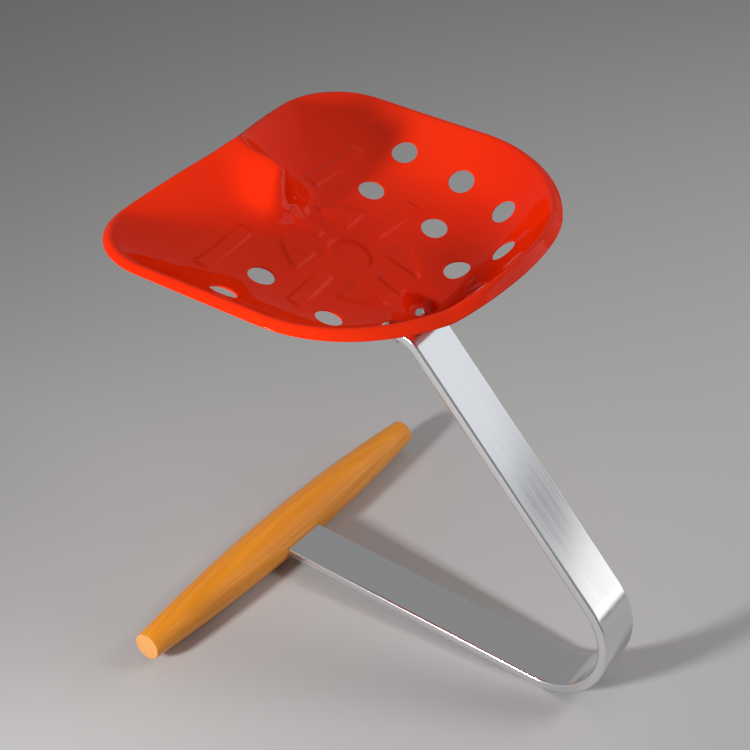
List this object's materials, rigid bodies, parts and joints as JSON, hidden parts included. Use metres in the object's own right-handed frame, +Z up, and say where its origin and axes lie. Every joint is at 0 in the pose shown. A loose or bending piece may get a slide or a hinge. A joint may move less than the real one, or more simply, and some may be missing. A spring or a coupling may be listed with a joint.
{
  "type": "tractor seat stool",
  "caption": "Stool with a pressed steel tractor seat on one bent flat steel bar and a turned wooden crossbar as its front foot.",
  "frame": {"origin": "on the floor under the middle of the stool's bounding box", "axes": "+Z up, -Y to the stool's front (the pommel and the crossbar), +X to the sitter's left"},
  "size_m": [0.464, 0.4922, 0.5077],
  "materials": {
    "red_enamel": "high gloss orange-red enamel",
    "chromed_bar": "polished chrome with faint lengthwise brushing",
    "lacquered_wood": "clear honey lacquer on straight-grained hardwood",
    "bright_steel": "bright plated",
    "black_rubber": "matt"
  },
  "bodies": {
    "stand": {"stem_bar": "chromed_bar", "crossbar": "lacquered_wood", "crossbar_screws": "bright_steel", "plate_washer": "bright_steel", "spring_washer": "bright_steel"},
    "seat": {"seat_pan": "red_enamel", "seat_washer": "black_rubber", "seat_bolt": "bright_steel"},
    "nut": {"wing_nut": "bright_steel"}
  },
  "joints": [
    {"name": "seat_turn", "type": "hinge", "parent": "stand", "child": "seat", "pos_m": [0, 0.00475, 0.37184], "axis": [0, 0.345, 0.9386], "continuous": true},
    {"name": "nut_turn", "type": "hinge", "parent": "stand", "child": "nut", "pos_m": [0, 0.00475, 0.37184], "axis": [0, 0.345, 0.9386], "continuous": true}
  ]
}
